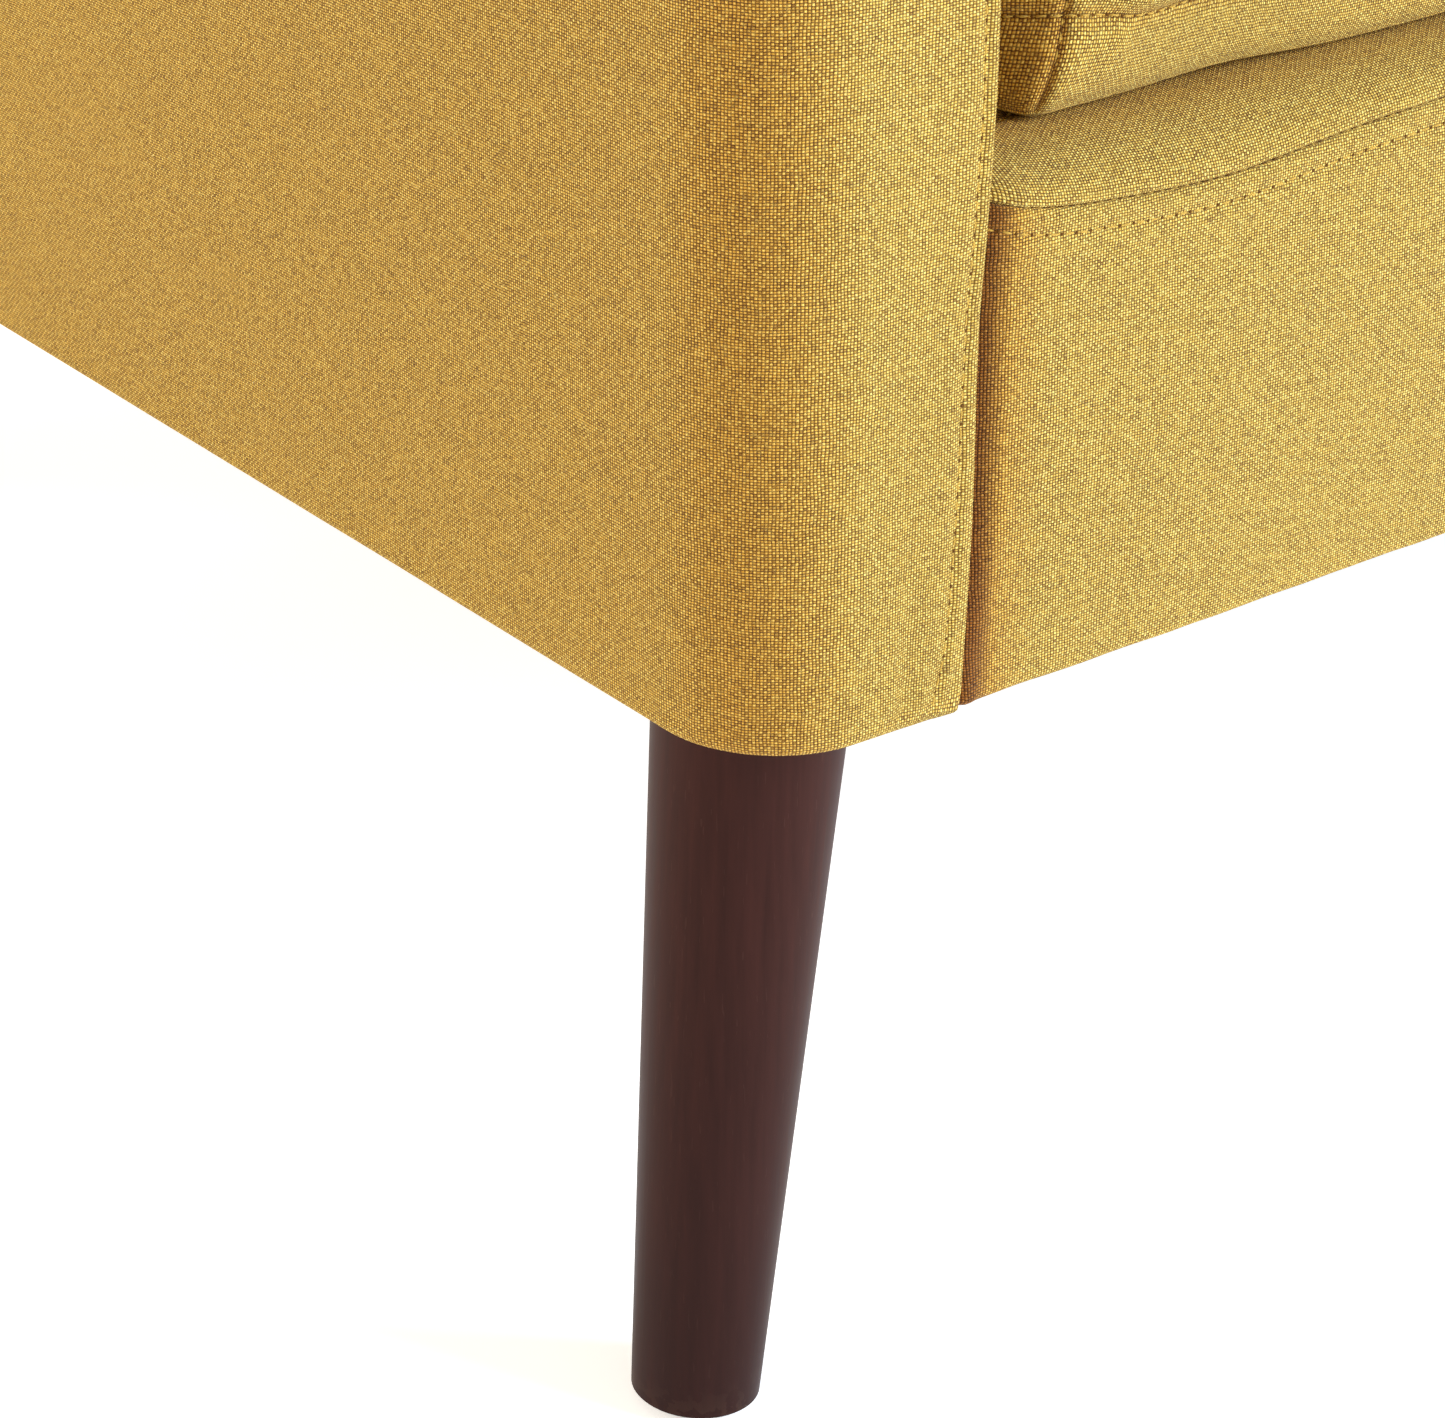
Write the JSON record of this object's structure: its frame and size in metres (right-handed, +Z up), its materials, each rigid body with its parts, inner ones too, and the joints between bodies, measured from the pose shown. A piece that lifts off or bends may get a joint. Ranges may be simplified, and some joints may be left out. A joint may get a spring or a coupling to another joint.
{
  "type": "two-seat sofa",
  "caption": "Two-seat upholstered sofa with slim padded arms, loose seat and back cushions, and splayed round tapered wooden legs.",
  "frame": {"origin": "on the floor, under the middle of the sofa", "axes": "+X along the width, to the right as seen from the front; the front faces -Y; +Z up"},
  "size_m": [1.4, 0.8, 0.83],
  "materials": {
    "mustard_weave": "plain linen-look weave in mustard yellow, light and ochre threads",
    "dark_wood": "satin dark brown lacquer, faint pores",
    "frame_wood": "sawn softwood",
    "board": "matte fibreboard",
    "foam": "open-cell foam, matte",
    "fibre": "white fibre wadding, matte",
    "webbing": "elastic webbing, matte",
    "felt_pad": "grey needled felt",
    "dust_cloth": "thin black non-woven cloth",
    "spring_steel": "oil-tempered wire",
    "zinc_plate": "zinc plated",
    "glide_plastic": "matte black",
    "zip_tape": "woven tape with a coil, mustard",
    "zip_metal": "antique brass finish"
  },
  "bodies": {
    "sofa": {"front_rail": "frame_wood", "back_rail": "frame_wood", "left_side_rail": "frame_wood", "right_side_rail": "frame_wood", "centre_stretcher": "frame_wood", "corner_blocks": "frame_wood", "left_arm_front_post": "frame_wood", "right_arm_front_post": "frame_wood", "left_arm_rear_post": "frame_wood", "right_arm_rear_post": "frame_wood", "left_arm_top_rail": "frame_wood", "right_arm_top_rail": "frame_wood", "arm_outer_panels": "board", "arm_inner_panels": "board", "left_arm_foam": "foam", "right_arm_foam": "foam", "left_arm_cover": "mustard_weave", "right_arm_cover": "mustard_weave", "left_back_post": "frame_wood", "right_back_post": "frame_wood", "back_top_rail": "frame_wood", "back_lower_rail": "frame_wood", "back_centre_post": "frame_wood", "back_webbing": "webbing", "back_foam": "foam", "back_cover": "mustard_weave", "outer_back_board": "board", "outer_back_wadding": "fibre", "outer_back_cover": "mustard_weave", "seat_springs": "spring_steel", "spring_clips": "spring_steel", "spring_tie_wires": "spring_steel", "spring_pad": "felt_pad", "deck_foam": "foam", "deck_cover": "mustard_weave", "front_border_foam": "foam", "front_border_cover": "mustard_weave", "dust_cover": "dust_cloth", "left_front_leg": "dark_wood", "right_front_leg": "dark_wood", "left_rear_leg": "dark_wood", "right_rear_leg": "dark_wood", "leg_plates": "zinc_plate", "leg_plate_screws": "zinc_plate", "hanger_bolts": "zinc_plate", "leg_glides": "glide_plastic"},
    "left_seat_cushion": {"left_seat_core": "foam", "left_seat_wrap": "fibre", "left_seat_cover": "mustard_weave", "left_seat_zip": "zip_tape"},
    "left_seat_zip_slider": {"left_seat_zip_pull": "zip_metal"},
    "left_back_cushion": {"left_back_filling": "fibre", "left_back_cushion_cover": "mustard_weave"},
    "right_seat_cushion": {"right_seat_core": "foam", "right_seat_wrap": "fibre", "right_seat_cover": "mustard_weave", "right_seat_zip": "zip_tape"},
    "right_seat_zip_slider": {"right_seat_zip_pull": "zip_metal"},
    "right_back_cushion": {"right_back_filling": "fibre", "right_back_cushion_cover": "mustard_weave"}
  },
  "joints": [
    {"name": "left_seat_lift", "type": "slide", "parent": "sofa", "child": "left_seat_cushion", "axis": [0, 0, 1], "range_m": [0, 0.3]},
    {"name": "left_zip_run", "type": "slide", "parent": "left_seat_cushion", "child": "left_seat_zip_slider", "axis": [1, 0, 0], "range_m": [0, 0.48]},
    {"name": "left_back_lift", "type": "slide", "parent": "left_seat_cushion", "child": "left_back_cushion", "axis": [0, 0, 1], "range_m": [0, 0.25]},
    {"name": "right_seat_lift", "type": "slide", "parent": "sofa", "child": "right_seat_cushion", "axis": [0, 0, 1], "range_m": [0, 0.3]},
    {"name": "right_zip_run", "type": "slide", "parent": "right_seat_cushion", "child": "right_seat_zip_slider", "axis": [-1, 0, 0], "range_m": [0, 0.48]},
    {"name": "right_back_lift", "type": "slide", "parent": "right_seat_cushion", "child": "right_back_cushion", "axis": [0, 0, 1], "range_m": [0, 0.25]}
  ]
}
